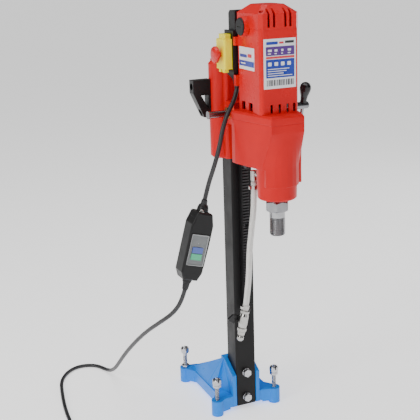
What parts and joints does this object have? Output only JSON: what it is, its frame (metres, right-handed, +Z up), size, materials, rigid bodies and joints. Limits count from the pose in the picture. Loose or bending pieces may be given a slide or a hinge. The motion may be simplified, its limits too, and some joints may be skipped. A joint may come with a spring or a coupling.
{
  "type": "core drill rig",
  "caption": "Rig-mounted wet core drill: red motor and gearbox on a rack-fed carriage, black column, blue cast base, water hose, in-line trip switch.",
  "frame": {"origin": "on the floor, under the middle of the rig's box, the loose cable, trip switch and plug left out", "axes": "+Z up along the column, +Y from the drill spindle towards the back of the base, +X towards the feed handle"},
  "size_m": [0.6781, 0.613, 0.95],
  "materials": {
    "blue_paint": "gloss",
    "black_paint": "satin",
    "red_paint": "gloss",
    "red_plastic": "gloss",
    "steel": "machined",
    "zinc": "zinc plated",
    "dark_steel": "blackened",
    "black_plastic": "matte",
    "knob_plastic": "gloss",
    "yellow_plastic": "gloss",
    "green_plastic": "gloss",
    "blue_plastic": "gloss",
    "clear_plastic": "clear",
    "label_film": "printed",
    "cable_rubber": "matte",
    "seal_rubber": "matte",
    "hose_plastic": "translucent",
    "brass": "machined",
    "nickel": "nickel plated",
    "laminations": "laminated",
    "carbon": "pressed carbon",
    "bearing_steel": "polished",
    "slide_plastic": "matte",
    "aluminium": "cast"
  },
  "bodies": {
    "stand": {"base_casting": "blue_paint", "column_tube": "black_paint", "column_cap": "black_plastic", "rack": "dark_steel", "rack_screws": "dark_steel", "column_bolts": "zinc", "levelling_nuts": "zinc", "trip_housing": "black_plastic", "trip_window": "clear_plastic", "trip_glands": "black_plastic", "supply_cord": "cable_rubber", "cord_coil": "cable_rubber", "plug_body": "cable_rubber", "plug_pins": "brass"},
    "foot_fl": {"levelling_screw_front_left": "zinc"},
    "foot_fr": {"levelling_screw_front_right": "zinc"},
    "foot_bl": {"levelling_screw_back_left": "zinc"},
    "foot_br": {"levelling_screw_back_right": "zinc"},
    "carriage": {"carriage_casting": "red_paint", "slide_pads": "slide_plastic", "feed_bushes": "brass", "carry_handle": "black_plastic", "mount_bolts": "dark_steel", "gearbox_housing": "red_paint", "gearbox_cover": "red_paint", "housing_screws": "dark_steel", "ball_bearings": "bearing_steel", "spindle_seals": "seal_rubber", "motor_housing": "red_plastic", "motor_top_cap": "red_plastic", "stator": "laminations", "carbon_brushes": "carbon", "brush_caps": "black_plastic", "front_label": "label_film", "side_label": "label_film", "control_box": "black_plastic", "switch_base": "black_plastic", "box_gland": "black_plastic", "motor_cable": "cable_rubber"},
    "feed": {"feed_shaft": "steel", "feed_hub": "steel"},
    "bar": {"tommy_bar": "steel", "feed_knobs": "knob_plastic"},
    "lock": {"lock_knob": "knob_plastic"},
    "spindle_body": {"spindle": "steel", "spindle_gear": "steel"},
    "counter": {"countershaft": "steel", "counter_gear": "steel"},
    "rotor": {"armature": "laminations", "fan": "black_plastic"},
    "cover": {"switch_cover": "yellow_plastic"},
    "stop": {"stop_button": "red_plastic"},
    "start": {"start_button": "green_plastic"},
    "water_line": {"water_inlet": "brass", "hose_clamps": "nickel", "water_hose": "hose_plastic", "valve_body": "nickel"},
    "tap": {"valve_lever": "knob_plastic"},
    "trip_reset": {"trip_reset_button": "blue_plastic"},
    "trip_test": {"trip_test_button": "green_plastic"}
  },
  "joints": [
    {"name": "carriage_feed", "type": "slide", "parent": "stand", "child": "carriage", "axis": [0, 0, 1], "range_m": [-0.43, 0.03], "deforming": ["motor_cable"]},
    {"name": "feed_shaft_turn", "type": "hinge", "parent": "carriage", "child": "feed", "pos_m": [-0.02175, -0.03549, 0.722], "axis": [1, 0, 0], "range_deg": [-105, 1461]},
    {"name": "bar_slide", "type": "slide", "parent": "feed", "child": "bar", "axis": [0, -0.2924, 0.9563], "range_m": [0, 0.126]},
    {"name": "lock_turn", "type": "hinge", "parent": "carriage", "child": "lock", "pos_m": [-0.02175, 0.07475, 0.723], "axis": [0, 1, 0], "range_deg": [0, 360]},
    {"name": "level_fl", "type": "slide", "parent": "stand", "child": "foot_fl", "axis": [0, 0, 1], "range_m": [0, 0.02]},
    {"name": "level_fr", "type": "slide", "parent": "stand", "child": "foot_fr", "axis": [0, 0, 1], "range_m": [0, 0.02]},
    {"name": "level_bl", "type": "slide", "parent": "stand", "child": "foot_bl", "axis": [0, 0, 1], "range_m": [0, 0.02]},
    {"name": "level_br", "type": "slide", "parent": "stand", "child": "foot_br", "axis": [0, 0, 1], "range_m": [0, 0.02]},
    {"name": "spindle_turn", "type": "hinge", "parent": "carriage", "child": "spindle_body", "pos_m": [-0.02175, -0.16825, 0.56], "axis": [0, 0, 1], "continuous": true},
    {"name": "countershaft_turn", "type": "hinge", "parent": "carriage", "child": "counter", "pos_m": [-0.04372, -0.13879, 0.66], "axis": [0, 0, 1], "continuous": true},
    {"name": "armature_turn", "type": "hinge", "parent": "carriage", "child": "rotor", "pos_m": [-0.02175, -0.12225, 0.8], "axis": [0, 0, 1], "continuous": true},
    {"name": "cover_swing", "type": "hinge", "parent": "carriage", "child": "cover", "pos_m": [-0.07775, -0.05425, 0.888], "axis": [0, 1, 0], "range_deg": [0, 110]},
    {"name": "stop_press", "type": "slide", "parent": "cover", "child": "stop", "axis": [1, 0, 0], "range_m": [0, 0.004], "stiffness_N_per_m": 300},
    {"name": "start_press", "type": "slide", "parent": "carriage", "child": "start", "axis": [1, 0, 0], "range_m": [0, 0.003], "stiffness_N_per_m": 300},
    {"name": "water_swivel", "type": "hinge", "parent": "carriage", "child": "water_line", "pos_m": [-0.05175, -0.12225, 0.606], "axis": [-0.5463, 0.8376, 0], "range_deg": [-6, 66]},
    {"name": "valve_turn", "type": "hinge", "parent": "water_line", "child": "tap", "pos_m": [-0.08241, -0.12225, 0.28544], "axis": [0, 1, 0], "range_deg": [0, 90]},
    {"name": "reset_press", "type": "slide", "parent": "stand", "child": "trip_reset", "axis": [0, 1, 0], "range_m": [0, 0.002], "stiffness_N_per_m": 300},
    {"name": "test_press", "type": "slide", "parent": "stand", "child": "trip_test", "axis": [0, 1, 0], "range_m": [0, 0.002], "stiffness_N_per_m": 300}
  ],
  "couplings": [
    {"joint": "feed_shaft_turn", "follows": "carriage_feed", "rad_per_m": -59.055},
    {"joint": "water_swivel", "follows": "carriage_feed", "rad_per_m": -2.618},
    {"joint": "countershaft_turn", "follows": "spindle_turn", "ratio": -2.2308},
    {"joint": "armature_turn", "follows": "spindle_turn", "ratio": 7.5846}
  ]
}
